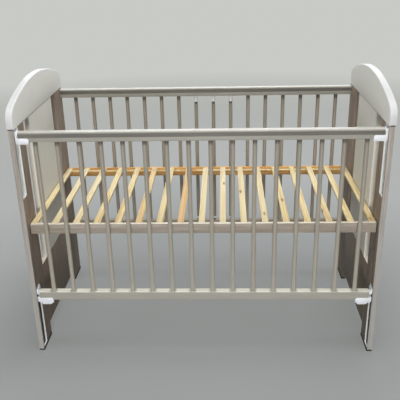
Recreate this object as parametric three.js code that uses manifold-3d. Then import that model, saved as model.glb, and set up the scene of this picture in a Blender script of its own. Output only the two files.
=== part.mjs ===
// Crib with a drop side, in millimetres. X runs along the crib, Y from front to rear, Z up from the floor.
import * as THREE from 'three';
import { mergeVertices } from 'three/addons/utils/BufferGeometryUtils.js';
import Module from 'manifold-3d';

const wasm = await Module();
wasm.setup();

// Overall sizes
const outer_length = 1240;
const outer_depth = 640;
const board = 18;
const edge_round = 1;
const glide_height = 8;
const leg_height = 850;
const leg_width = 110;

// End panels
const panel_gap = 63;
const lower_board_clear = 48;
const lower_board_height = 250;
const arch_board = 24;
const arch_overhang = 1.5;
const arch_rise = 126;
const arch_radius = 800;
const shoulder_radius = 50;
const arch_corner = 5;
const arch_edge_round = 4;

// Guide tracks in the front legs
const groove_setback = 6;
const groove_width = 40;
const groove_depth = 8;
const groove_corner = 6;
const lower_track_bottom = 3;
const track_wall = 1.5;
const runner_thickness = 1.2;
const running_gap = 0.5;
const fit_gap = 0.15;

// Side rails and bars, the same for the drop side and the rear side
const rail_setback = 3;
const rail_width = 26;
const rail_height = 34;
const rail_edge = 4;
const bottom_rail_edge = 3;
const rail_band_width = 24;
const rail_band_height = 13;
const rail_neck_width = 19;
const top_rail_drop = 7;
const bottom_rail_bottom = 211;
const rear_side_raise = 3;
const bar_count = 16;
const bar_end_space = 62;
const bar_radius = 7.5;
const bar_hole_depth = 14;
const drop_travel = 190;

// End fittings of the drop side
const end_clearance = 2.6;
const end_plate_thickness = 7.4;
const end_plate_depth = 20;
const shoe_wall = 2.6;
const shoe_gap = 0.2;
const top_shoe_length = 36;
const bottom_shoe_length = 49;
const top_tongue_height = 36;
const bottom_tongue_height = 17;
const bottom_tongue_rise = 5;
const lever_drop = 10.4;
const barrel_radius = 3.2;
const pivot_radius = 1.5;

// Removable rear bars
const first_removable = 7;
const removable_count = 3;
const cap_height = 23;
const cap_radius = 8.4;
const cap_pin_radius = 4;
const cap_neck = 2;
const lift = 8;
const tenon_radius = 6.3;
const foot_tip_radius = 3.6;
const foot_tip_depth = 5.5;
const foot_cone_bottom = 6;
const foot_cone_top = 17;

// Bed base
const base_end_gap = 3;
const base_setback = 27;
const base_board = 11;
const base_board_bottom = 467;
const base_board_height = 36;
const batten_width = 20;
const batten_height = 17;
const slat_count = 17;
const slat_width = 22;
const slat_thickness = 8;
const bolt_radius = 3;
const bolt_head_radius = 7;
const bolt_head_height = 2;
const bolt_length = 60;
const spare_bolt_heights = [325, 375];

// Sizes worked out from the ones above
const inner_half = outer_length / 2 - board;
const front = -outer_depth / 2;
const ground = glide_height;
const base_length = 2 * (inner_half - base_end_gap);
const bar_pitch = 2 * (inner_half - bar_end_space) / (bar_count - 1);
const top_rail_bottom = leg_height - top_rail_drop - rail_height;
const upper_track_bottom = top_rail_bottom - drop_travel - 14;
const lower_track_length = drop_travel + 65;
const plate_end = inner_half - end_clearance;
const plate_start = plate_end - end_plate_thickness;
const rail_end = plate_start - shoe_gap;
const bar_axis = front + rail_setback + rail_width / 2;
const tongue_end = inner_half + groove_depth - track_wall - runner_thickness - running_gap;
const slat_top = ground + base_board_bottom + base_board_height;
const bolt_y = front + base_setback + base_board + batten_width / 2;
const bolt_z = slat_top - slat_thickness - batten_height / 2;
const drop_top_rail_z = ground + top_rail_bottom;
const drop_bottom_rail_z = ground + bottom_rail_bottom;
const rear_top_rail_z = drop_top_rail_z + rear_side_raise;
const rear_bottom_rail_z = drop_bottom_rail_z + rear_side_raise;
const cap_bottom = rear_top_rail_z - cap_neck - cap_height;

function toSolid(geometry) {
  const plain = geometry.clone();
  plain.deleteAttribute('normal');
  plain.deleteAttribute('uv');
  const welded = mergeVertices(plain, 1e-4);
  return new wasm.Manifold(new wasm.Mesh({
    numProp: 3,
    vertProperties: Float32Array.from(welded.getAttribute('position').array),
    triVerts: Uint32Array.from(welded.getIndex().array),
  }));
}

function toGeometry(solid) {
  const mesh = solid.getMesh();
  const geometry = new THREE.BufferGeometry();
  geometry.setAttribute('position', new THREE.BufferAttribute(Float32Array.from(mesh.vertProperties), 3));
  geometry.setIndex(new THREE.BufferAttribute(Uint32Array.from(mesh.triVerts), 1));
  geometry.computeVertexNormals();
  return geometry;
}

function cut(base, tools) {
  return toGeometry(tools.reduce((solid, tool) => solid.subtract(toSolid(tool)), toSolid(base)));
}

function join(pieces) {
  return toGeometry(pieces.slice(1).reduce((solid, piece) => solid.add(toSolid(piece)), toSolid(pieces[0])));
}

function shapeOf(points) {
  return new THREE.Shape(points.map(([a, b]) => new THREE.Vector2(a, b)));
}

function extruded(shape, length, edge, curveSegments) {
  return new THREE.ExtrudeGeometry(shape, {
    depth: length - 2 * edge,
    curveSegments,
    bevelEnabled: edge > 0,
    bevelThickness: edge,
    bevelSize: edge,
    bevelOffset: -edge,
    bevelSegments: edge > 2 ? 3 : 1,
  }).translate(0, 0, edge);
}

// The outline is given in Y and Z, and runs from x0 to x1.
function alongX(shape, x0, x1, edge = 0, curveSegments = 8) {
  const turn = new THREE.Matrix4().makeBasis(
    new THREE.Vector3(0, 1, 0), new THREE.Vector3(0, 0, 1), new THREE.Vector3(1, 0, 0));
  return extruded(shape, x1 - x0, edge, curveSegments).applyMatrix4(turn).translate(x0, 0, 0);
}

// The outline is given in X and Z, and runs from y0 to y1.
function alongY(shape, y0, y1, curveSegments = 8) {
  const turn = new THREE.Matrix4().makeBasis(
    new THREE.Vector3(1, 0, 0), new THREE.Vector3(0, 0, 1), new THREE.Vector3(0, -1, 0));
  return extruded(shape, y1 - y0, 0, curveSegments).applyMatrix4(turn).translate(0, y1, 0);
}

function block(x0, x1, y0, y1, z0, z1) {
  return new THREE.BoxGeometry(x1 - x0, y1 - y0, z1 - z0)
    .translate((x0 + x1) / 2, (y0 + y1) / 2, (z0 + z1) / 2);
}

function rodUp(radius, x, y, z0, z1, sides = 24) {
  return new THREE.CylinderGeometry(radius, radius, z1 - z0, sides)
    .rotateX(Math.PI / 2).translate(x, y, (z0 + z1) / 2);
}

function rodAcross(radius, x0, x1, y, z, sides = 16) {
  return new THREE.CylinderGeometry(radius, radius, x1 - x0, sides)
    .rotateZ(Math.PI / 2).translate((x0 + x1) / 2, y, z);
}

// A slot outline in Y and Z with rounded corners; the upper end stays square where it is open.
function slotShape(y0, y1, z0, z1, corner, openTop) {
  const shape = new THREE.Shape();
  shape.moveTo(y1, z0 + corner);
  if (openTop) {
    shape.lineTo(y1, z1);
    shape.lineTo(y0, z1);
  } else {
    shape.absarc(y1 - corner, z1 - corner, corner, 0, Math.PI / 2, false);
    shape.absarc(y0 + corner, z1 - corner, corner, Math.PI / 2, Math.PI, false);
  }
  shape.absarc(y0 + corner, z0 + corner, corner, Math.PI, 1.5 * Math.PI, false);
  shape.absarc(y1 - corner, z0 + corner, corner, 1.5 * Math.PI, 2 * Math.PI, false);
  return shape;
}

function boltHoles(y) {
  const heights = [bolt_z, ...spare_bolt_heights.map((height) => ground + height)];
  return heights.map((z) => rodAcross(bolt_radius + 0.2, inner_half - 1, outer_length / 2 + 1, y, z));
}

function glidePegs(y, radius, top) {
  return [-1, 1].map((end) => rodUp(radius, outer_length / 2 - 5, y + end * leg_width / 4,
    ground - 1, ground + top, 12));
}

const track_front = front + groove_setback;
const upper_slot = (inset, top) => slotShape(track_front + inset, track_front + groove_width - inset,
  ground + upper_track_bottom + inset, ground + leg_height + top, groove_corner - inset, true);
const lower_slot = (inset, top = lower_track_bottom + lower_track_length) => slotShape(
  track_front + inset, track_front + groove_width - inset,
  ground + lower_track_bottom + inset, ground + top - inset, groove_corner - inset, false);

function legBoard(y0) {
  const outline = shapeOf([[y0, ground], [y0 + leg_width, ground],
    [y0 + leg_width, ground + leg_height], [y0, ground + leg_height]]);
  return alongX(outline, inner_half, outer_length / 2, edge_round);
}

function frontLeg() {
  return cut(legBoard(front), [
    alongX(upper_slot(0, 1), inner_half - 1, inner_half + groove_depth),
    alongX(lower_slot(0), inner_half - 1, inner_half + groove_depth),
    ...boltHoles(bolt_y),
    ...glidePegs(front + leg_width / 2, 3.2, 12),
  ]);
}

function rearLeg() {
  return cut(legBoard(-front - leg_width), [
    ...boltHoles(-bolt_y),
    ...glidePegs(-front - leg_width / 2, 3.2, 12),
  ]);
}

function centrePanel() {
  const half = outer_depth / 2 - leg_width - panel_gap;
  const bottom = ground + lower_board_clear + lower_board_height;
  const top = ground + leg_height;
  const outline = shapeOf([[-half, bottom], [half, bottom], [half, top], [-half, top]]);
  return alongX(outline, inner_half, outer_length / 2, edge_round);
}

function lowerBoard() {
  const half = outer_depth / 2 - leg_width;
  const bottom = ground + lower_board_clear;
  const top = bottom + lower_board_height;
  return alongX(shapeOf([[-half, bottom], [half, bottom], [half, top], [-half, top]]),
    inner_half, outer_length / 2);
}

// The arch is one long arc whose shoulders turn down into the front and rear edges.
function archBoard() {
  const base = ground + leg_height;
  const apex = base + arch_rise;
  const arc_centre = apex - arch_radius;
  const shoulder_y = outer_depth / 2 - shoulder_radius;
  const reach = arch_radius - shoulder_radius;
  const shoulder_z = arc_centre + Math.sqrt(reach ** 2 - shoulder_y ** 2);
  const tangent = Math.atan2(shoulder_z - arc_centre, shoulder_y);
  const shape = new THREE.Shape();
  shape.moveTo(front + arch_corner, base);
  shape.absarc(-front - arch_corner, base + arch_corner, arch_corner, 1.5 * Math.PI, 2 * Math.PI, false);
  shape.absarc(shoulder_y, shoulder_z, shoulder_radius, 0, tangent, false);
  shape.absarc(0, arc_centre, arch_radius, tangent, Math.PI - tangent, false);
  shape.absarc(-shoulder_y, shoulder_z, shoulder_radius, Math.PI - tangent, Math.PI, false);
  shape.absarc(front + arch_corner, base + arch_corner, arch_corner, Math.PI, 1.5 * Math.PI, false);
  return alongX(shape, inner_half - arch_overhang, inner_half - arch_overhang + arch_board,
    arch_edge_round, 14);
}

function footGlide(y) {
  const half_length = leg_width / 2 - 1;
  const x0 = inner_half - 1.5;
  const x1 = outer_length / 2 - 0.5;
  const sole = shapeOf([[y - half_length + 2, 0], [y + half_length - 2, 0], [y + half_length, 2],
    [y + half_length, ground], [y - half_length, ground], [y - half_length, 2]]);
  return join([alongX(sole, x0, x1), ...glidePegs(y, 3, 11.5)]);
}

function upperTrack() {
  const body = alongX(upper_slot(fit_gap, 0), inner_half, inner_half + groove_depth);
  return cut(body, [alongX(upper_slot(track_wall, 1), inner_half - 1,
    inner_half + groove_depth - track_wall)]);
}

function lowerTrack() {
  const body = alongX(lower_slot(fit_gap), inner_half, inner_half + groove_depth);
  return cut(body, [alongX(lower_slot(track_wall), inner_half - 1, inner_half + groove_depth - track_wall)]);
}

function runnerStrip() {
  const floor = inner_half + groove_depth - track_wall;
  return alongX(lower_slot(track_wall + fit_gap), floor - runner_thickness, floor);
}

// Moulded rail: a plain lower band, a ledge, flanks that lean out to an overhanging top, and a flat top
// with rounded edges. The outline goes up the rear flank and down the front one.
function topRailShape(middle, base) {
  const band = rail_band_width / 2;
  const neck = rail_neck_width / 2;
  const half = rail_width / 2;
  const top = base + rail_height;
  const lip = top - rail_edge - 2.5;
  const ledge = base + rail_band_height;
  const shape = new THREE.Shape();
  shape.moveTo(middle - band + 1, base);
  shape.lineTo(middle + band - 1, base);
  shape.lineTo(middle + band, base + 1);
  shape.lineTo(middle + band, ledge - 0.6);
  shape.lineTo(middle + band - 0.6, ledge);
  shape.lineTo(middle + neck, ledge + 0.3);
  shape.lineTo(middle + half, lip);
  shape.absarc(middle + half - rail_edge, top - rail_edge, rail_edge, 0, Math.PI / 2, false);
  shape.absarc(middle - half + rail_edge, top - rail_edge, rail_edge, Math.PI / 2, Math.PI, false);
  shape.lineTo(middle - half, lip);
  shape.lineTo(middle - neck, ledge + 0.3);
  shape.lineTo(middle - band + 0.6, ledge);
  shape.lineTo(middle - band, ledge - 0.6);
  shape.lineTo(middle - band, base + 1);
  return shape;
}

function bottomRailShape(middle, base) {
  const across = rail_width / 2 - bottom_rail_edge;
  const low = base + bottom_rail_edge;
  const high = base + rail_height - bottom_rail_edge;
  const shape = new THREE.Shape();
  shape.moveTo(middle - across, base);
  shape.absarc(middle + across, low, bottom_rail_edge, 1.5 * Math.PI, 2 * Math.PI, false);
  shape.absarc(middle + across, high, bottom_rail_edge, 0, Math.PI / 2, false);
  shape.absarc(middle - across, high, bottom_rail_edge, Math.PI / 2, Math.PI, false);
  shape.absarc(middle - across, low, bottom_rail_edge, Math.PI, 1.5 * Math.PI, false);
  return shape;
}

const barX = (index) => (index - (bar_count - 1) / 2) * bar_pitch;
const barFoot = (rail_z) => rail_z + rail_height - bar_hole_depth;
const barTop = (rail_z) => rail_z + bar_hole_depth;
const isRemovable = (index) => index >= first_removable && index < first_removable + removable_count;
const allBars = [...Array(bar_count).keys()];
const fixedRearBars = allBars.filter((index) => !isRemovable(index));
const removableBars = allBars.filter(isRemovable);

function dropTopRail() {
  const holes = allBars.map((index) => rodUp(bar_radius + fit_gap, barX(index), bar_axis,
    drop_top_rail_z - 1, barTop(drop_top_rail_z)));
  return cut(alongX(topRailShape(bar_axis, drop_top_rail_z), -rail_end, rail_end), holes);
}

function dropBottomRail() {
  const holes = allBars.map((index) => rodUp(bar_radius + fit_gap, barX(index), bar_axis,
    barFoot(drop_bottom_rail_z), drop_bottom_rail_z + rail_height + 1));
  return cut(alongX(bottomRailShape(bar_axis, drop_bottom_rail_z), -rail_end, rail_end), holes);
}

function dropBar(index) {
  return rodUp(bar_radius, barX(index), bar_axis, barFoot(drop_bottom_rail_z), barTop(drop_top_rail_z));
}

function rearTopRail() {
  const base = rear_top_rail_z;
  const holes = allBars.map((index) => (isRemovable(index)
    ? rodUp(cap_pin_radius + fit_gap, barX(index), -bar_axis, base - 1, base + 8)
    : rodUp(bar_radius + fit_gap, barX(index), -bar_axis, base - 1, barTop(base))));
  return cut(alongX(topRailShape(-bar_axis, base), -inner_half, inner_half), holes);
}

function rearBottomRail() {
  const top = rear_bottom_rail_z + rail_height;
  const bars = fixedRearBars.map((index) => rodUp(bar_radius, barX(index), -bar_axis, top - 5,
    barTop(rear_top_rail_z)));
  const holes = removableBars.map((index) => rodUp(foot_tip_radius + 0.3, barX(index), -bar_axis,
    top - foot_tip_depth - 1.5, top + 1));
  const rail = alongX(bottomRailShape(-bar_axis, rear_bottom_rail_z), -inner_half, inner_half);
  return cut(join([rail, ...bars]), holes);
}

// The tenon on top slides up inside the spring cap, and the tip below stands in the bottom rail.
function removableBar(index) {
  const rail_top = rear_bottom_rail_z + rail_height;
  const body_bottom = rail_top + foot_cone_top;
  const body_top = cap_bottom - lift - 0.5;
  const tenon_top = cap_bottom + cap_height - lift - 1.5;
  const outline = [[0, rail_top - foot_tip_depth], [foot_tip_radius - 1, rail_top - foot_tip_depth],
    [foot_tip_radius, rail_top - foot_tip_depth + 1], [foot_tip_radius, rail_top + foot_cone_bottom],
    [bar_radius, body_bottom], [bar_radius, body_top - 0.5], [bar_radius - 0.5, body_top],
    [tenon_radius, body_top], [tenon_radius, tenon_top - 4], [tenon_radius - 2, tenon_top], [0, tenon_top]];
  return new THREE.LatheGeometry(outline.map(([r, z]) => new THREE.Vector2(r, z)), 24)
    .rotateX(Math.PI / 2).translate(barX(index), -bar_axis, 0);
}

function springCap(index) {
  const top = cap_bottom + cap_height;
  const bore = tenon_radius + 0.3;
  const bore_top = top - 1;
  const outline = [[bore, cap_bottom], [cap_radius - 0.6, cap_bottom], [cap_radius, cap_bottom + 1],
    [cap_radius, cap_bottom + 8], [cap_radius - 0.4, cap_bottom + 14], [cap_radius - 1.3, cap_bottom + 19],
    [cap_radius - 3, top], [cap_radius - 3, top + cap_neck], [cap_pin_radius, top + cap_neck],
    [cap_pin_radius, top + cap_neck + 7], [0, top + cap_neck + 7], [0, bore_top], [bore - 2, bore_top],
    [bore, bore_top - 4], [bore, cap_bottom]];
  return new THREE.LatheGeometry(outline.map(([r, z]) => new THREE.Vector2(r, z)), 24)
    .rotateX(Math.PI / 2).translate(barX(index), -bar_axis, 0);
}

function tongue(top, height) {
  const y0 = track_front + track_wall + running_gap;
  const y1 = track_front + groove_width - track_wall - running_gap;
  const corner = groove_corner - track_wall;
  return alongX(slotShape(y0, y1, top - height, top, corner, false), plate_end - 1, tongue_end);
}

// The shoe holds the rail's lower edge between two lips, and its end plate carries the tongue.
function topSlider() {
  const base = drop_top_rail_z;
  const foot = base - 6.5;
  const band_top = base + rail_band_height + 0.5;
  const inner_end = plate_start - top_shoe_length;
  const lip_front = bar_axis - rail_band_width / 2 - shoe_gap - shoe_wall;
  const lip_rear = bar_axis + rail_band_width / 2 + shoe_gap + shoe_wall;
  const shoe = alongY(shapeOf([[inner_end + 2, foot], [plate_start + 1, foot], [plate_start + 1, band_top],
    [inner_end + 6, band_top], [inner_end + 2, band_top - 4], [inner_end, base]]), lip_front, lip_rear);
  const channel = block(inner_end - 1, plate_start, lip_front + shoe_wall, lip_rear - shoe_wall,
    base - shoe_gap, band_top + 1);
  const top = base + rail_height - 0.5;
  const plate = alongY(shapeOf([[plate_start, foot], [plate_end, foot], [plate_end, top - 2],
    [plate_end - 1.5, top], [plate_start + 2.5, top], [plate_start + 0.5, top - 2],
    [plate_start + 0.5, base + 25], [plate_start + 1.8, base + 22], [plate_start + 1.8, base + 17],
    [plate_start, band_top]]), lip_front, lip_front + end_plate_depth);
  const pocket = block(plate_start + 3, plate_end - 1.5, lip_front - 1, lip_front + 3, base + 17, base + 23);
  return join([cut(shoe, [channel]), cut(plate, [pocket]), tongue(top - 1, top_tongue_height)]);
}

const lever_axis_y = bar_axis - 10.6;
const lever_axis_z = drop_bottom_rail_z - 6.6;
const lever_start = plate_start - bottom_shoe_length + 4;
const lever_end = plate_start - 5.3;

function bottomSlider() {
  const base = drop_bottom_rail_z;
  const lip_top = base + 9.5;
  const floor = base - shoe_gap - shoe_wall;
  const inner_end = plate_start - bottom_shoe_length;
  const lip_front = bar_axis - rail_width / 2 - shoe_gap - shoe_wall + 1;
  const lip_rear = bar_axis + rail_width / 2 + shoe_gap + shoe_wall - 1;
  const tray = alongY(shapeOf([[inner_end, floor], [plate_start + 1, floor], [plate_start + 1, lip_top],
    [inner_end + 5, lip_top], [inner_end + 1, lip_top - 5]]), lip_front, lip_rear);
  const channel = alongX(bottomRailShape(bar_axis, base), inner_end - 1, plate_start)
    .translate(0, 0, -shoe_gap);
  const side_room = block(inner_end - 1, plate_start, bar_axis - rail_width / 2 - shoe_gap,
    bar_axis + rail_width / 2 + shoe_gap, base + 4, lip_top + 1);
  const keel = block(inner_end + 4, plate_start + 1, lip_front + 11, lip_rear, floor - 4.2, floor + 0.5);
  const ear_shape = shapeOf([[lip_front, floor + 0.5], [lip_front, floor - 6], [lip_front + 2, floor - 8],
    [lip_front + 7, floor - 8], [lip_front + 10, floor - 5], [lip_front + 10, floor + 0.5]]);
  const ears = [alongX(ear_shape, inner_end, lever_start - 0.3),
    alongX(ear_shape, lever_end + 0.3, plate_start + 1)];
  const pivots = rodAcross(pivot_radius + 0.25, inner_end + 1, plate_start - 1, lever_axis_y, lever_axis_z);
  const top = base + rail_height;
  const plate = alongY(shapeOf([[plate_start, floor - 4.2], [plate_end - 2, floor - 4.2],
    [plate_end, floor - 2], [plate_end, top - 1], [plate_end - 1, top], [plate_start + 1, top],
    [plate_start, top - 1]]), lip_front, lip_front + end_plate_depth);
  const window = block(plate_start - 1, plate_end + 1, lip_front - 1, lip_front + end_plate_depth - 5,
    base + 13, base + 25);
  return cut(join([cut(tray, [channel, side_room]), keel, ...ears, cut(plate, [window]),
    tongue(top + bottom_tongue_rise, bottom_tongue_height)]), [pivots]);
}

// Foot lever: a curved flap under a barrel, turning on two stub pins held by the shoe's ears.
function releaseLever() {
  const bottom = lever_axis_z - lever_drop;
  const flap_shape = new THREE.Shape();
  flap_shape.moveTo(lever_start, lever_axis_z);
  flap_shape.lineTo(lever_start, bottom + 7);
  flap_shape.quadraticCurveTo(lever_start + 2, bottom + 1.5, lever_start + 9, bottom);
  flap_shape.lineTo(lever_end - 9, bottom);
  flap_shape.quadraticCurveTo(lever_end - 1, bottom + 1, lever_end, bottom + 7);
  flap_shape.lineTo(lever_end, lever_axis_z);
  return join([alongY(flap_shape, lever_axis_y - barrel_radius, lever_axis_y + 0.4),
    rodAcross(barrel_radius, lever_start, lever_end, lever_axis_y, lever_axis_z, 20),
    rodAcross(pivot_radius, lever_start - 2.5, lever_end + 3.5, lever_axis_y, lever_axis_z)]);
}

function baseBoard(y0) {
  return alongX(shapeOf([[y0, ground + base_board_bottom], [y0 + base_board, ground + base_board_bottom],
    [y0 + base_board, slat_top], [y0, slat_top]]), -base_length / 2, base_length / 2, 0.6);
}

function batten(y0) {
  const top = slat_top - slat_thickness;
  const hole_end = outer_length / 2 - bolt_length - 2;
  const holes = [[-inner_half, -hole_end], [hole_end, inner_half]].map(([x0, x1]) => rodAcross(
    bolt_radius + 0.2, x0, x1, y0 + batten_width / 2, bolt_z));
  return cut(block(-base_length / 2, base_length / 2, y0, y0 + batten_width, top - batten_height, top), holes);
}

function battenWithSlats() {
  const pitch = (base_length - slat_width) / (slat_count - 1);
  const y0 = front + base_setback + base_board;
  const slats = [...Array(slat_count).keys()].map((index) => {
    const middle = (index - (slat_count - 1) / 2) * pitch;
    return block(middle - slat_width / 2, middle + slat_width / 2, y0 + 0.3, -y0 - 0.3,
      slat_top - slat_thickness, slat_top);
  });
  return join([batten(y0), ...slats]);
}

function bedBolt(y) {
  const head = outer_length / 2;
  const outline = [[0, head - bolt_length], [bolt_radius - 1, head - bolt_length],
    [bolt_radius, head - bolt_length + 1.5], [bolt_radius, head], [bolt_head_radius, head],
    [bolt_head_radius, head + 0.6], [bolt_head_radius - 2, head + bolt_head_height],
    [0, head + bolt_head_height]];
  return new THREE.LatheGeometry(outline.map(([r, x]) => new THREE.Vector2(r, x)), 16)
    .rotateZ(-Math.PI / 2).translate(0, y, bolt_z);
}

function mirrored(geometry) {
  const copy = mergeVertices(geometry.clone().deleteAttribute('normal').deleteAttribute('uv'), 1e-4);
  copy.scale(-1, 1, 1);
  const index = copy.getIndex();
  for (let i = 0; i < index.count; i += 3) {
    const second = index.getX(i + 1);
    index.setX(i + 1, index.getX(i + 2));
    index.setX(i + 2, second);
  }
  copy.computeVertexNormals();
  return copy;
}

const finishes = {
  laminate: { color: 0x9c9282, roughness: 0.6, metalness: 0 },
  paleLaminate: { color: 0xb4ada0, roughness: 0.6, metalness: 0 },
  paintedWood: { color: 0x94907f, roughness: 0.5, metalness: 0 },
  pine: { color: 0xe2cf9c, roughness: 0.7, metalness: 0 },
  whitePlastic: { color: 0xe9ecef, roughness: 0.35, metalness: 0 },
  blackRubber: { color: 0x17171a, roughness: 0.8, metalness: 0 },
  steel: { color: 0xa9abad, roughness: 0.35, metalness: 1 },
};

function piece(name, geometry, finish) {
  const mesh = new THREE.Mesh(geometry, new THREE.MeshStandardMaterial(finishes[finish]));
  mesh.name = name;
  return mesh;
}

function group(name, pieces) {
  const result = new THREE.Group();
  result.name = name;
  pieces.forEach((item) => result.add(item));
  return result;
}

function endPanel(side, place) {
  const front_middle = front + leg_width / 2;
  return group(`${side}_end`, [
    piece(`${side}_front_leg`, place(frontLeg()), 'laminate'),
    piece(`${side}_rear_leg`, place(rearLeg()), 'laminate'),
    piece(`${side}_centre_panel`, place(centrePanel()), 'paleLaminate'),
    piece(`${side}_lower_board`, place(lowerBoard()), 'laminate'),
    piece(`${side}_arch_board`, place(archBoard()), 'paleLaminate'),
    piece(`${side}_front_foot_glide`, place(footGlide(front_middle)), 'blackRubber'),
    piece(`${side}_rear_foot_glide`, place(footGlide(-front_middle)), 'blackRubber'),
    piece(`${side}_upper_track`, place(upperTrack()), 'whitePlastic'),
    piece(`${side}_lower_track`, place(lowerTrack()), 'whitePlastic'),
    piece(`${side}_track_runner_strip`, place(runnerStrip()), 'blackRubber'),
    piece(`${side}_front_bed_bolt`, place(bedBolt(bolt_y)), 'steel'),
    piece(`${side}_rear_bed_bolt`, place(bedBolt(-bolt_y)), 'steel'),
  ]);
}

function sideFittings(side, place) {
  return [
    piece(`${side}_top_slider`, place(topSlider()), 'whitePlastic'),
    piece(`${side}_bottom_slider`, place(bottomSlider()), 'whitePlastic'),
    piece(`${side}_release_lever`, place(releaseLever()), 'whitePlastic'),
  ];
}

const twoDigits = (number) => String(number).padStart(2, '0');
const asBuilt = (geometry) => geometry;

const crib = group('crib', [
  endPanel('left', mirrored),
  endPanel('right', asBuilt),
  group('drop_side', [
    piece('drop_side_top_rail', dropTopRail(), 'paintedWood'),
    piece('drop_side_bottom_rail', dropBottomRail(), 'paintedWood'),
    ...allBars.map((index) => piece(`drop_side_bar_${twoDigits(index + 1)}`, dropBar(index), 'paintedWood')),
    ...sideFittings('left', mirrored),
    ...sideFittings('right', asBuilt),
  ]),
  group('rear_side', [
    piece('rear_side_top_rail', rearTopRail(), 'paintedWood'),
    piece('rear_side_bottom_rail_and_bars', rearBottomRail(), 'paintedWood'),
    ...removableBars.map((index, order) => piece(`removable_bar_${order + 1}`, removableBar(index), 'paintedWood')),
    ...removableBars.map((index, order) => piece(`bar_spring_cap_${order + 1}`, springCap(index), 'whitePlastic')),
  ]),
  group('bed_base', [
    piece('bed_front_board', baseBoard(front + base_setback), 'laminate'),
    piece('bed_rear_board', baseBoard(-front - base_setback - base_board), 'laminate'),
    piece('bed_front_batten_and_slats', battenWithSlats(), 'pine'),
    piece('bed_rear_batten', batten(-front - base_setback - base_board - batten_width), 'pine'),
  ]),
]);

export default crib;
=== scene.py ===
import math

import bmesh
import bpy
from mathutils import Matrix, Vector


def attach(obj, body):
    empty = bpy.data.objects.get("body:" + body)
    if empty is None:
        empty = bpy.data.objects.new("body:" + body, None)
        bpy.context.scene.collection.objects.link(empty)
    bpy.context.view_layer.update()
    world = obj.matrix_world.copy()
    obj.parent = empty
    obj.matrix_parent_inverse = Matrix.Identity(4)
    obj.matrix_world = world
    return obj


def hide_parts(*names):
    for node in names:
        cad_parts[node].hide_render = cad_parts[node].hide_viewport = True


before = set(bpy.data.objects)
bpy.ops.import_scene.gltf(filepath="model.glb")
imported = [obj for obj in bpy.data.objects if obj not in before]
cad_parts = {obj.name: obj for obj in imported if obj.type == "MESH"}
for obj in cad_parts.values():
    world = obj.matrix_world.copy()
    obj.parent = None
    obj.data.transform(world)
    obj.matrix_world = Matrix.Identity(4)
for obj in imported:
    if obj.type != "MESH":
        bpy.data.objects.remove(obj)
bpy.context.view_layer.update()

# Sizes in metres, as in the solids
DEPTH_HALF = 0.320
ARCH_BASE = 0.858
ARCH_APEX = 0.984
ARCH_RADIUS = 0.800
SHOULDER_RADIUS = 0.050
ARCH_CORNER = 0.005
ARCH_ROUND = 0.004
ARCH_NEAR, ARCH_FAR = 0.6005, 0.6245
BAR_PITCH = 0.072
BAR_COUNT = 16
REMOVABLE_COUNT = 3
SLAT_PITCH = 0.0735
FOOT_CONE = (0.262, 0.273)
COLLAR_BOTTOM = 0.7866
RAIL_UNDERSIDE = 0.809
RAIL_LEDGE = 0.8235
RAIL_CREST = 0.839

# Heights above the floor at which painted shade and painted light begin and end, and the width of a painted
# shade line
RAIL_SHADOW_START = 0.799
BAND_SHADE_LINE = 0.8105
FLANK_SHADE_LINE = 0.8245
BAR_LIGHT_FADE = (0.72, 0.28)
LEG_SHADE_FADE = (0.50, 0.15)
EDGE_LIGHT_FADE = (0.75, 0.10)
SHADE_LINE_WIDTH = 0.0015

# How far the crisp edges of each kind of piece are eased
BOARD_EASE = 0.0004
RAIL_EASE = 0.0005
BAR_EASE = 0.0006
BATTEN_EASE = 0.0006
FITTING_EASE = 0.0006
TRACK_EASE = 0.0003
GLIDE_EASE = 0.0005
SMALL_EASE = 0.0002
NOT_EASED = 0.0

# Angles in degrees, and the area in square metres above which a face is shaded flat
FLAT_ANGLE = 0.5
CRISP_ANGLE = 32
SHARP_ANGLE = 34
FLAT_AREA = 0.004
WELD_DISTANCE = 2e-6
SAME_PLACE = 1e-6

# Steps of a curve
EASE_STEPS = 2
ROUND_STEPS = 6
CORNER_STEPS = 5
SHOULDER_STEPS = 14
CROWN_STEPS = 48

# Added to a slat's number, it picks which slats come out redder
SLAT_SEED = 3395

# The camera of the photo, turned in radians, its focal length in pixels of a picture 400 across
CAMERA_PLACE = (0.08007, -2.22233, 1.41056)
CAMERA_YAW, CAMERA_PITCH, CAMERA_ROLL = -0.04312, 0.39751, -0.02285
FOCAL_PIXELS = 616.3
PICTURE_PIXELS = 400
SENSOR_WIDTH = 36

# The floor's size, and how far out it darkens and its glow grows
FLOOR_RADIUS = 60
FLOOR_FADE = (1.6, 4.0)
FLOOR_GLOW = (0.8, 5.0)

# Painted shade as screen values from 0 to 255, and the lamps' light
RAIL_SHADOW_SHADE = (64, 58, 50)
CREASE_SHADE = (64, 58, 52)
LOW_SHADE_TAUPE = (72, 64, 47)
WARM_WHITE = (1.0, 0.995, 0.98)
COOL_WHITE = (0.98, 0.99, 1.0)


# Finishes

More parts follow.
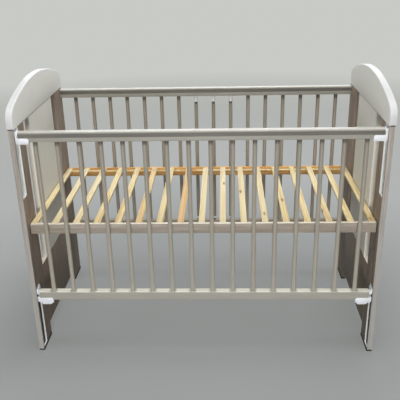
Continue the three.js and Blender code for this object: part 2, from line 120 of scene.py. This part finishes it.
class Finish:
    """A finish made of nodes that read the piece's own place in the crib, in metres."""

    def __init__(self, name, **sockets):
        self.material = bpy.data.materials.new(name)
        self.material.use_nodes = True
        self.tree = self.material.node_tree
        self.shader = self.tree.nodes["Principled BSDF"]
        for socket, value in sockets.items():
            self.shader.inputs[socket.replace("_", " ")].default_value = value
        self.here = self.node("TexCoord").outputs["Object"]

    def node(self, kind, inputs=None, **settings):
        made = self.tree.nodes.new("ShaderNode" + kind)
        for setting, value in settings.items():
            setattr(made, setting, value)
        for socket, value in (inputs or {}).items():
            self.feed(made.inputs[socket], value)
        return made

    def feed(self, socket, value):
        """Links a socket to another node's, or sets it to a plain value."""
        if isinstance(value, bpy.types.NodeSocket):
            self.tree.links.new(value, socket)
        else:
            socket.default_value = value

    def stretch(self, x, y, z, where=None):
        """Places to read a pattern at, drawn out along the axes with the small numbers."""
        place = self.here if where is None else where
        return self.node("Mapping", {"Vector": place, "Scale": (x, y, z)}).outputs[0]

    def noise(self, where, scale, detail=4.0, roughness=0.6, twist=0.0):
        inputs = {"Vector": where, "Scale": scale, "Detail": detail}
        inputs.update({"Roughness": roughness, "Distortion": twist})
        return self.node("TexNoise", inputs).outputs["Fac"]

    def sums(self, operation, *values):
        made = self.node("Math", operation=operation)
        for socket, value in zip(made.inputs, values):
            self.feed(socket, value)
        return made.outputs[0]

    def between(self, value, low, high, to_low=0.0, to_high=1.0):
        """Carries a range of values over to another range, and holds them inside it."""
        inputs = {"Value": value, "From Min": low, "From Max": high}
        inputs.update({"To Min": to_low, "To Max": to_high})
        return self.node("MapRange", inputs).outputs[0]

    def shades(self, value, *stops):
        """A run of colours along a value, each stop a place and a colour."""
        ramp = self.node("ValToRGB", {"Fac": value})
        bands = ramp.color_ramp.elements
        for band, (place, colour) in zip(bands, (stops[0], stops[-1])):
            band.position = place
            band.color = srgb(colour)
        for place, colour in stops[1:-1]:
            bands.new(place).color = srgb(colour)
        return ramp.outputs["Color"]

    def blend(self, amount, under, over):
        """Lays one colour over another by an amount. Each is a socket or screen values."""
        mix = self.node("Mix", data_type="RGBA")
        self.feed(mix.inputs[0], amount)
        for socket, colour in ((mix.inputs[6], under), (mix.inputs[7], over)):
            plain = isinstance(colour, (tuple, list))
            self.feed(socket, srgb(colour) if plain else colour)
        return mix.outputs[2]

    def axis(self, letter):
        return self.node("SeparateXYZ", {"Vector": self.here}).outputs[letter]

    def finish(self, colour, roughness, height, strength, depth):
        self.feed(self.shader.inputs["Base Color"], colour)
        self.feed(self.shader.inputs["Roughness"], roughness)
        bump = self.node("Bump", {"Height": height, "Strength": strength, "Distance": depth})
        self.feed(self.shader.inputs["Normal"], bump.outputs[0])
        return self.material


def srgb(colour):
    """A colour written as screen values from 0 to 255, as the shaders take it."""
    linear = [(v / 255 / 12.92) if v <= 10 else ((v / 255 + 0.055) / 1.055) ** 2.4 for v in colour]
    return (*linear, 1.0)


def tinted(colour, step):
    """The same colour, lighter or darker by a step."""
    return [v + step for v in colour]


def wood_grain_laminate(name, along, dark, middle, pale, fade=LEG_SHADE_FADE, painted_low_tone=LOW_SHADE_TAUPE, most=0.0):
    """Printed wood grain: fine streaks along one axis, swirls, open pores, and a tone lower down that is
    painted shade on the faces and painted light on the edges.
    """
    board = Finish(name, Specular_IOR_Level=0.3)
    fine = {"x": (5, 160, 160), "z": (160, 160, 5)}[along]
    broad = {"x": (1.2, 22, 22), "z": (22, 22, 1.2)}[along]
    streaks = board.noise(board.stretch(*fine), 2.2, 7, 0.7)
    swirls = board.noise(board.stretch(*broad), 2.0, 4, 0.55, 1.4)
    pores = board.between(board.noise(board.stretch(*[4 * v for v in fine]), 2.0, 2, 0.5), 0.30, 0.42)
    tone = board.sums("ADD", board.sums("MULTIPLY", streaks, 0.55), board.sums("MULTIPLY", swirls, 0.45))
    colour = board.shades(tone, (0.32, dark), (0.50, middle), (0.68, pale))
    colour = board.blend(board.between(pores, 0, 1, 0.22, 0), colour, [v * 0.62 for v in dark])
    scuff = board.noise(board.here, 9, 5, 0.6)
    colour = board.blend(board.between(scuff, 0.55, 0.8, 0, 0.16), colour, pale)
    colour = board.blend(board.between(board.axis("Z"), *fade, 0, most), colour, painted_low_tone)
    relief = board.sums("ADD", streaks, board.sums("MULTIPLY", pores, 0.6))
    return board.finish(colour, board.between(streaks, 0.3, 0.7, 0.62, 0.46), relief, 0.35, 0.0004)


def plain_laminate(name, deep, pale, fibre):
    """Plain board face with the faint mottling of its pressed foil."""
    board = Finish(name, Specular_IOR_Level=0.2)
    cloud = board.noise(board.here, 4, 3, 0.5)
    fibres = board.noise(board.stretch(60, 60, 6), 3, 6, 0.7)
    colour = board.shades(cloud, (0.3, deep), (0.7, pale))
    colour = board.blend(board.between(fibres, 0.35, 0.7, 0, 0.16), colour, fibre)
    return board.finish(colour, board.between(fibres, 0.3, 0.7, 0.62, 0.50), fibres, 0.12, 0.0003)


def white_edging():
    """Satin white plastic edging, slightly orange-peeled and a little dusty in patches."""
    band = Finish("white_edge_band", Specular_IOR_Level=0.2)
    peel = band.noise(band.here, 420, 3, 0.5)
    dust = band.noise(band.here, 14, 5, 0.6)
    colour = band.shades(dust, (0.3, (221, 222, 222)), (0.75, (214, 215, 215)))
    return band.finish(colour, band.between(dust, 0.3, 0.7, 0.34, 0.46), peel, 0.06, 0.0003)


def particle_underside_painted_shade():
    """Bare underside of a board: dark pressed chips between flecks of glue, dark enough to stand also as
    painted shade along the arch's lower edge.
    """
    board = Finish("particle_underside_painted_shade")
    flakes = {"Vector": board.stretch(160, 420, 420), "Scale": 1.0}
    chips = board.node("TexVoronoi", flakes).outputs["Distance"]
    colour = board.shades(chips, (0.1, (58, 50, 42)), (0.6, (86, 76, 65)))
    return board.finish(colour, board.between(chips, 0, 0.7, 0.9, 0.75), chips, 0.4, 0.0005)


def lacquered_wood(name, along, base, gloss=0.0, lit_between_bars=0, shade_crease=0, painted_light_foot=None):
    """Taupe-grey satin lacquer over straight beech.

    Upright bars differ by a shade and carry a painted shadow of the rail at their tops. Where a
    painted_light_foot colour is given, they turn to it lower down as painted light. Where a shade_crease
    height is given, a painted shade line lies just above it. Where lit_between_bars is given, a painted
    highlight lightens the rail between the bars, leaving painted bar shadows near them.
    """
    wood = Finish(name, Coat_Weight=gloss, Coat_Roughness=0.3, Specular_IOR_Level=0.3)
    fine = {"x": (3, 130, 130), "z": (130, 130, 3)}[along]
    grain = wood.noise(wood.stretch(*fine), 2.4, 6, 0.65)
    cloud = wood.noise(wood.here, 5, 3, 0.5)
    colour = wood.shades(grain, (0.3, tinted(base, -9)), (0.5, base), (0.72, tinted(base, 7)))
    if along == "z":
        bar = wood.sums("FLOOR", wood.sums("DIVIDE", wood.axis("X"), BAR_PITCH))
        each = wood.node("TexWhiteNoise", {"W": bar}, noise_dimensions="1D").outputs["Value"]
        colour = wood.blend(wood.between(each, 0, 1, 0, 0.45), colour, (152, 138, 128))
        # Painted shadow of the rail over the tops of the bars beneath it.
        rail_shadow = wood.between(wood.axis("Z"), RAIL_SHADOW_START, RAIL_UNDERSIDE, 0, 0.75)
        colour = wood.blend(rail_shadow, colour, RAIL_SHADOW_SHADE)
    if painted_light_foot:
        # Painted light: the bars grow paler towards the foot.
        colour = wood.blend(wood.between(wood.axis("Z"), *BAR_LIGHT_FADE, 0, 0.6), colour, painted_light_foot)
    if shade_crease:
        # A painted shade line just above the given height.
        in_shade = wood.between(wood.axis("Z"), shade_crease + SHADE_LINE_WIDTH, shade_crease, 0, 0.5)
        colour = wood.blend(in_shade, colour, CREASE_SHADE)
    if lit_between_bars:
        # Painted highlight between the bars, leaving painted bar shadows near them.
        from_gap = wood.sums("PINGPONG", wood.axis("X"), BAR_PITCH / 2)
        colour = wood.blend(wood.between(from_gap, 0.020, 0.028, 1, 0), colour, tinted(base, lit_between_bars))
    colour = wood.blend(wood.between(cloud, 0.4, 0.75, 0, 0.12), colour, (182, 178, 166))
    return wood.finish(colour, wood.between(grain, 0.3, 0.7, 0.56, 0.46), grain, 0.18, 0.0003)


def bare_pine(name, along, dark, middle, pale):
    """Planed pine: growth rings drawn out along the grain, knots, and every slat across its own shade."""
    pine = Finish(name)
    ring_scale = {"x": (2.6, 120, 120), "y": (120, 2.6, 120)}[along]
    knot_scale = {"x": (7, 24, 24), "y": (24, 7, 24)}[along]
    fibre_scale = {"x": (14, 700, 700), "y": (700, 14, 700)}[along]
    where = pine.here
    if along == "y":
        number = pine.sums("ROUND", pine.sums("DIVIDE", pine.axis("X"), SLAT_PITCH))
        slat = pine.sums("ADD", number, SLAT_SEED)
        each = pine.node("TexWhiteNoise", {"W": slat}, noise_dimensions="1D")
        shifted = {0: pine.here, 1: each.outputs["Color"]}
        where = pine.node("VectorMath", shifted, operation="ADD").outputs[0]
    rings = pine.noise(pine.stretch(*ring_scale, where), 1.0, 4, 0.55, 0.9)
    fibres = pine.noise(pine.stretch(*fibre_scale, where), 1, 3, 0.6)
    spots = {"Vector": pine.stretch(*knot_scale, where), "Scale": 1.0, "Randomness": 1.0}
    knot = pine.node("TexVoronoi", spots).outputs["Distance"]
    colour = pine.shades(rings, (0.34, dark), (0.5, middle), (0.66, pale))
    if along == "y":
        shade = each.outputs["Value"]
        colour = pine.blend(pine.between(shade, 0.66, 0.85, 0, 0.55), colour, (216, 164, 106))
        colour = pine.blend(pine.between(shade, 0.45, 0.0, 0, 0.5), colour, (236, 226, 190))
    colour = pine.blend(pine.between(fibres, 0.4, 0.7, 0.10, 0), colour, (160, 112, 62))
    colour = pine.blend(pine.between(knot, 0.05, 0.16, 0.85, 0), colour, (128, 78, 38))
    return pine.finish(colour, pine.between(rings, 0.3, 0.7, 0.68, 0.55), fibres, 0.3, 0.0004)


def moulded_plastic(name, pale, deep, roughness):
    """Moulded plastic with a fine spark-eroded grain and faint flow marks."""
    plastic = Finish(name)
    grain = plastic.noise(plastic.here, 1400, 2, 0.5)
    flow = plastic.noise(plastic.stretch(30, 60, 60), 1.4, 3, 0.5, 0.6)
    colour = plastic.shades(flow, (0.3, deep), (0.7, pale))
    dulled = plastic.between(flow, 0.3, 0.7, roughness + 0.08, roughness)
    return plastic.finish(colour, dulled, grain, 0.1, 0.0002)


def zinc_steel():
    """Bright zinc plating with a fine crystal mottle."""
    steel = Finish("zinc_plated_steel", Metallic=1.0)
    spots = steel.noise(steel.here, 260, 4, 0.6)
    colour = steel.shades(spots, (0.3, (150, 151, 152)), (0.7, (204, 205, 206)))
    return steel.finish(colour, steel.between(spots, 0.3, 0.7, 0.42, 0.26), spots, 0.15, 0.0002)


# The faces darken lower down towards a painted shade tone.
taupe_upright = wood_grain_laminate("taupe_wood_grain_upright", "z", (112, 97, 82), (145, 129, 115),
                                    (170, 156, 142), most=0.6)
# The edge band is a lighter copy of the laminate, partly painted light, and grows lighter again lower down
# as painted light.
taupe_edge_and_light = wood_grain_laminate("taupe_edge_band_painted_light", "z", (125, 117, 110), (160, 153, 146), (187, 180, 174),
                                 fade=EDGE_LIGHT_FADE, painted_low_tone=(191, 190, 186), most=0.5)
taupe_lengthways = wood_grain_laminate("taupe_wood_grain_lengthways", "x", (134, 124, 110), (160, 150, 136),
                                       (184, 176, 164))
cream = plain_laminate("cream_laminate", (228, 228, 221), (234, 234, 228), (188, 186, 178))
white_board = plain_laminate("white_laminate", (225, 226, 222), (230, 231, 227), (198, 199, 196))
cream_edge = plain_laminate("cream_edge_band", (236, 230, 218), (242, 237, 226), (206, 198, 184))
edging = white_edging()
raw_underside_and_shade = particle_underside_painted_shade()
lacquer_rail = lacquered_wood("taupe_lacquer_rails", "x", (164, 161, 152))
# Lit and shaded copies of the rail lacquer: the darker flanks and bands are painted shade, the lighter crest
# and foot rail top painted highlights.
lacquer_flank_shade = lacquered_wood("taupe_lacquer_rail_flanks_painted_shade", "x", (116, 114, 108), shade_crease=FLANK_SHADE_LINE)
lacquer_band_shade = lacquered_wood("taupe_lacquer_rail_bands_painted_shade", "x", (144, 142, 134), shade_crease=BAND_SHADE_LINE)
lacquer_crest_highlight = lacquered_wood("taupe_lacquer_tops_painted_highlight", "x", (196, 194, 187), gloss=0.3)
lacquer_foot_rail_highlight = lacquered_wood("taupe_lacquer_foot_rail_painted_highlight", "x", (188, 184, 173), lit_between_bars=58)
# Front bars turn paler lower down as painted light.
lacquer_bar = lacquered_wood("taupe_lacquer_bars", "z", (150, 146, 134), painted_light_foot=(191, 186, 172))
lacquer_rear_bar = lacquered_wood("taupe_lacquer_rear_bars", "z", (149, 143, 130))
pine_slat = bare_pine("bare_pine_slats", "y", (204, 172, 116), (230, 210, 156), (238, 223, 178))
pine_rail = bare_pine("bare_pine_battens", "x", (196, 142, 76), (220, 170, 100), (232, 192, 126))
white_plastic = moulded_plastic("white_fitting_plastic", (238, 241, 246), (226, 230, 236), 0.34)
cap_plastic = moulded_plastic("white_cap_plastic", (250, 251, 253), (242, 244, 248), 0.22)
collar_shade = moulded_plastic("grey_bar_collar_painted_shade", (88, 86, 80), (74, 72, 68), 0.6)
track_plastic = moulded_plastic("white_track_plastic", (244, 247, 247), (234, 238, 238), 0.42)
black_rubber = moulded_plastic("black_glide_rubber", (22, 22, 23), (12, 12, 13), 0.75)
bolt_zinc = zinc_steel()


# Working the pieces

def piece_from(bm, node, material, body):
    """Makes a finished object of a mesh in work. It rides on its body and stands for the node."""
    name = node + "_finished"
    mesh = bpy.data.meshes.new(name)
    bmesh.ops.recalc_face_normals(bm, faces=bm.faces)
    for face in bm.faces:
        face.smooth = face.calc_area() < FLAT_AREA
    bm.to_mesh(mesh)
    bm.free()
    mesh.set_sharp_from_angle(angle=math.radians(SHARP_ANGLE))
    mesh.materials.append(material)
    piece = bpy.data.objects.new(name, mesh)
    bpy.context.scene.collection.objects.link(piece)
    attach(piece, body)
    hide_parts(node)
    return piece


def worked_copy(node, material, body, width):
    """A node's own solid, welded, with its flats cleaned up and its crisp edges eased."""
    bm = bmesh.new()
    bm.from_mesh(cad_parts[node].data)
    bmesh.ops.remove_doubles(bm, verts=bm.verts, dist=WELD_DISTANCE)
    bmesh.ops.dissolve_limit(bm, angle_limit=math.radians(FLAT_ANGLE), verts=bm.verts, edges=bm.edges)
    if width:
        crisp = [e for e in bm.edges
                 if len(e.link_faces) == 2 and e.calc_face_angle(0) > math.radians(CRISP_ANGLE)]
        bmesh.ops.bevel(bm, geom=crisp, offset=width, offset_type="OFFSET", affect="EDGES",
                        segments=EASE_STEPS, profile=0.5, material=-1, clamp_overlap=True)
    return piece_from(bm, node, material, body)


def paint(piece, material, chosen):
    """Gives the chosen faces of a piece another finish."""
    piece.data.materials.append(material)
    for face in piece.data.polygons:
        if chosen(face):
            face.material_index = len(piece.data.materials) - 1


def faces_up(face):
    return face.normal.z > 0.5


def faces_out(face):
    """True of an edge that looks away from the crib to the front or the rear."""
    return face.normal.y * math.copysign(1, face.center.y) > 0.5


def faces_sideways(face):
    """True of the edges of an upright end board, all round."""
    return abs(face.normal.x) < 0.5


def leans_under(face):
    """True of a rail's flanks where they draw in under its top."""
    return abs(face.normal.y) > 0.8 and face.normal.z < -0.15


# End panels
for end in ("left", "right"):
    for name in ("front_leg", "rear_leg", "lower_board"):
        board = worked_copy(f"{end}_{name}", taupe_upright, "frame", BOARD_EASE)
        # Edges looking out take the lighter edge band as painted light; edges facing into the crib keep the
        # darker face colour as painted shade.
        paint(board, taupe_edge_and_light, faces_out)
        if name == "lower_board":
            paint(board, cream_edge, faces_up)
    panel = worked_copy(f"{end}_centre_panel", cream, "frame", BOARD_EASE)
    paint(panel, cream_edge, faces_sideways)
    for name in ("upper_track", "lower_track"):
        worked_copy(f"{end}_{name}", track_plastic, "frame", TRACK_EASE)
    # The runner strip is made black, so the floor of the lower track's groove shows near-black.
    worked_copy(f"{end}_track_runner_strip", black_rubber, "frame", SMALL_EASE)
    for name in ("front_foot_glide", "rear_foot_glide"):
        worked_copy(f"{end}_{name}", black_rubber, "frame", GLIDE_EASE)
    for name in ("front_bed_bolt", "rear_bed_bolt"):
        worked_copy(f"{end}_{name}", bolt_zinc, "frame", SMALL_EASE)


def drawn_line(bm, corner, rise):
    """Draws the arch outline on from its last corner by a straight line."""
    end = bmesh.ops.extrude_vert_indiv(bm, verts=[corner])["verts"][0]
    bmesh.ops.translate(bm, verts=[end], vec=(0, 0, rise))
    return end


def drawn_arc(bm, corner, y, z, turn, steps):
    """Draws the arch outline on from its last corner round a centre."""
    arc = bmesh.ops.spin(bm, geom=[corner], cent=(0, y, z), axis=(1, 0, 0), angle=turn, steps=steps,
                         use_merge=False)["geom_last"]
    return next(v for v in arc if isinstance(v, bmesh.types.BMVert))


def arch_board(end, side):
    """One board: the outline is drawn in the end's plane, filled, thickened and rounded all round."""
    centre = ARCH_APEX - ARCH_RADIUS
    across = DEPTH_HALF - SHOULDER_RADIUS
    shoulder = centre + math.sqrt((ARCH_RADIUS - SHOULDER_RADIUS) ** 2 - across ** 2)
    tangent = math.atan2(shoulder - centre, across)
    low = ARCH_BASE + ARCH_CORNER
    inner_y = DEPTH_HALF - ARCH_CORNER
    bm = bmesh.new()
    first = bm.verts.new((0, inner_y, ARCH_BASE))
    corner = drawn_arc(bm, first, inner_y, low, math.pi / 2, CORNER_STEPS)
    corner = drawn_line(bm, corner, shoulder - low)
    corner = drawn_arc(bm, corner, across, shoulder, tangent, SHOULDER_STEPS)
    corner = drawn_arc(bm, corner, 0, centre, math.pi - 2 * tangent, CROWN_STEPS)
    corner = drawn_arc(bm, corner, -across, shoulder, tangent, SHOULDER_STEPS)
    corner = drawn_line(bm, corner, low - shoulder)
    corner = drawn_arc(bm, corner, -inner_y, low, math.pi / 2, CORNER_STEPS)
    bm.edges.new((corner, first))
    face = bmesh.ops.contextual_create(bm, geom=bm.edges[:])["faces"]
    grown = bmesh.ops.extrude_face_region(bm, geom=face)["geom"]
    bmesh.ops.translate(bm, verts=[v for v in grown if isinstance(v, bmesh.types.BMVert)],
                        vec=(ARCH_FAR - ARCH_NEAR, 0, 0))
    rims = [e for e in bm.edges if abs(e.verts[0].co.x - e.verts[1].co.x) < SAME_PLACE]
    bmesh.ops.bevel(bm, geom=rims, offset=ARCH_ROUND, offset_type="OFFSET", affect="EDGES",
                    segments=ROUND_STEPS, profile=0.5, material=-1, clamp_overlap=False)
    bmesh.ops.translate(bm, verts=bm.verts, vec=(ARCH_NEAR if side > 0 else -ARCH_FAR, 0, 0))
    board = piece_from(bm, f"{end}_arch_board", white_board, "frame")
    paint(board, edging, lambda face: abs(face.normal.x) < 0.999)
    # The underside is raw board, and its dark also stands in as painted shade under the arch's edge.
    paint(board, raw_underside_and_shade, lambda face: face.normal.z < -0.35)


for end, side in (("left", -1), ("right", 1)):
    arch_board(end, side)


# Rails and bars
low_rail = worked_copy("drop_side_bottom_rail", lacquer_rail, "drop_side", RAIL_EASE)
# The foot rail's top takes its painted highlight.
paint(low_rail, lacquer_foot_rail_highlight, faces_up)
for node, body in (("drop_side_top_rail", "drop_side"), ("rear_side_top_rail", "frame")):
    rail = worked_copy(node, lacquer_rail, body, RAIL_EASE)
    # Flanks and bands take painted shade, and the crest a painted highlight.
    paint(rail, lacquer_flank_shade, leans_under)
    paint(rail, lacquer_band_shade, lambda face: face.center.z < RAIL_LEDGE)
    paint(rail, lacquer_crest_highlight, lambda face: faces_up(face) and face.center.z > RAIL_CREST)
worked_copy("rear_side_bottom_rail_and_bars", lacquer_rear_bar, "frame", NOT_EASED)
for number in range(1, BAR_COUNT + 1):
    worked_copy(f"drop_side_bar_{number:02d}", lacquer_bar, "drop_side", BAR_EASE)
for number in range(1, REMOVABLE_COUNT + 1):
    name = f"removable_bar_{number}"
    bar = worked_copy(name, lacquer_rear_bar, name + "_body", NOT_EASED)
    paint(bar, white_plastic, lambda face: FOOT_CONE[0] < face.center.z < FOOT_CONE[1])
    # The dark grey collar and foot pin stand in as painted shade in the gap under the cap and inside the
    # rail.
    paint(bar, collar_shade, lambda face: face.center.z > COLLAR_BOTTOM or face.center.z < FOOT_CONE[0])
    worked_copy(f"bar_spring_cap_{number}", cap_plastic, "frame", NOT_EASED)

# Fittings of the drop side
for end in ("left", "right"):
    for name in ("top_slider", "bottom_slider"):
        worked_copy(f"{end}_{name}", white_plastic, "drop_side", FITTING_EASE)
    worked_copy(f"{end}_release_lever", white_plastic, f"{end}_lever", FITTING_EASE)

# Bed base
for node, outward, top in (("bed_front_board", -1, cream_edge), ("bed_rear_board", 1, pine_rail)):
    board = worked_copy(node, taupe_lengthways, "frame", BOARD_EASE)
    paint(board, pine_rail, lambda face: face.normal.y * outward < -0.5)
    paint(board, top, faces_up)
for node in ("bed_front_batten_and_slats", "bed_rear_batten"):
    battens = worked_copy(node, pine_slat, "frame", BATTEN_EASE)
    # The battens' upright faces take the darker, oranger lengthways pine, partly as painted shade.
    paint(battens, pine_rail, lambda face: abs(face.normal.y) > 0.5)


# Studio
def seen_directly(tree):
    """One for rays from the camera and for mirrored or transmitted ones, nought for scattered light."""
    path = tree.nodes.new("ShaderNodeLightPath")
    seen = path.outputs["Is Camera Ray"]
    for ray in ("Is Glossy Ray", "Is Transmission Ray"):
        either = tree.nodes.new("ShaderNodeMath")
        either.operation = "MAXIMUM"
        tree.links.new(seen, either.inputs[0])
        tree.links.new(path.outputs[ray], either.inputs[1])
        seen = either.outputs[0]
    return seen


def studio_floor():
    """A pale floor to the eye that throws little light back up under the crib."""
    floor = Finish("studio_floor", Roughness=1.0, Specular_IOR_Level=0.0)
    seen = seen_directly(floor.tree)
    haze = floor.noise(floor.here, 0.8, 2, 0.5)
    pale = floor.shades(haze, (0.3, (112, 115, 117)), (0.7, (117, 120, 122)))
    away = floor.node("VectorMath", {0: floor.here}, operation="LENGTH").outputs["Value"]
    pale = floor.blend(floor.between(away, *FLOOR_FADE), pale, (12, 12, 12))
    floor.feed(floor.shader.inputs["Base Color"], floor.blend(seen, (62, 63, 65), pale))
    glow = floor.between(away, *FLOOR_GLOW, 0.20, 0.76)
    floor.feed(floor.shader.inputs["Emission Color"], srgb((226, 228, 223)))
    floor.feed(floor.shader.inputs["Emission Strength"], floor.sums("MULTIPLY", seen, glow))
    bm = bmesh.new()
    bmesh.ops.create_circle(bm, cap_ends=True, segments=96, radius=FLOOR_RADIUS)
    mesh = bpy.data.meshes.new("studio_floor")
    bm.to_mesh(mesh)
    bm.free()
    mesh.materials.append(floor.material)
    ground = bpy.data.objects.new("studio_floor", mesh)
    bpy.context.scene.collection.objects.link(ground)


def studio_world():
    """Soft light that is bright overhead and fades towards the horizon, and a pale wall where it is seen."""
    world = bpy.data.worlds.new("studio")
    world.use_nodes = True
    tree = world.node_tree
    direction = tree.nodes.new("ShaderNodeTexCoord").outputs["Generated"]
    split = tree.nodes.new("ShaderNodeSeparateXYZ")
    tree.links.new(direction, split.inputs[0])
    rise = tree.nodes.new("ShaderNodeMapRange")
    tree.links.new(split.outputs["Z"], rise.inputs["Value"])
    for socket, value in (("From Min", 0.0), ("From Max", 0.9), ("To Min", 0.07), ("To Max", 0.26)):
        rise.inputs[socket].default_value = value
    sky = tree.nodes["Background"]
    sky.inputs["Color"].default_value = (0.96, 0.98, 1.0, 1)
    tree.links.new(rise.outputs[0], sky.inputs["Strength"])
    wall = tree.nodes.new("ShaderNodeBackground")
    wall.inputs["Color"].default_value = srgb((190, 193, 190))
    mix = tree.nodes.new("ShaderNodeMixShader")
    tree.links.new(seen_directly(tree), mix.inputs[0])
    tree.links.new(sky.outputs[0], mix.inputs[1])
    tree.links.new(wall.outputs[0], mix.inputs[2])
    tree.links.new(mix.outputs[0], tree.nodes["World Output"].inputs["Surface"])
    bpy.context.scene.world = world


def soft_lamp(name, place, target, size, watts, colour=WARM_WHITE):
    """A rectangular panel that looks from its place at a target."""
    lamp = bpy.data.lights.new(name, "AREA")
    lamp.shape = "RECTANGLE"
    lamp.size, lamp.size_y = size
    lamp.energy = watts
    lamp.color = colour
    holder = bpy.data.objects.new(name, lamp)
    bpy.context.scene.collection.objects.link(holder)
    holder.location = place
    holder.rotation_euler = (Vector(target) - Vector(place)).to_track_quat("-Z", "Y").to_euler()


def studio_camera():
    camera = bpy.data.cameras.new("camera")
    camera.sensor_width = SENSOR_WIDTH
    camera.lens = FOCAL_PIXELS / PICTURE_PIXELS * SENSOR_WIDTH
    holder = bpy.data.objects.new("camera", camera)
    bpy.context.scene.collection.objects.link(holder)
    turn = Matrix.Rotation(-CAMERA_YAW, 4, "Z") @ Matrix.Rotation(math.pi / 2 - CAMERA_PITCH, 4, "X")
    roll = Matrix.Rotation(CAMERA_ROLL, 4, "Z")
    holder.matrix_world = Matrix.Translation(CAMERA_PLACE) @ turn @ roll
    bpy.context.scene.camera = holder


studio_floor()
studio_world()
soft_lamp("ceiling_panel", (0.4, -0.3, 6.5), (0, -0.1, 0.5), (5.0, 2.6), 285)
soft_lamp("low_front_fill", (0.0, -5.0, 0.6), (0, 0, 0.3), (1.6, 1.2), 152)
soft_lamp("left_side_panel", (-7.0, -0.3, 1.3), (0, 0, 0.5), (3.6, 1.4), 158)
soft_lamp("right_side_panel", (7.0, -0.3, 1.3), (0, 0, 0.5), (3.6, 1.4), 158)
soft_lamp("rear_window", (0.0, 2.8, 2.0), (0, -0.2, 0.7), (3.6, 1.1), 45, COOL_WHITE)
bpy.context.scene.view_settings.view_transform = "Standard"
studio_camera()
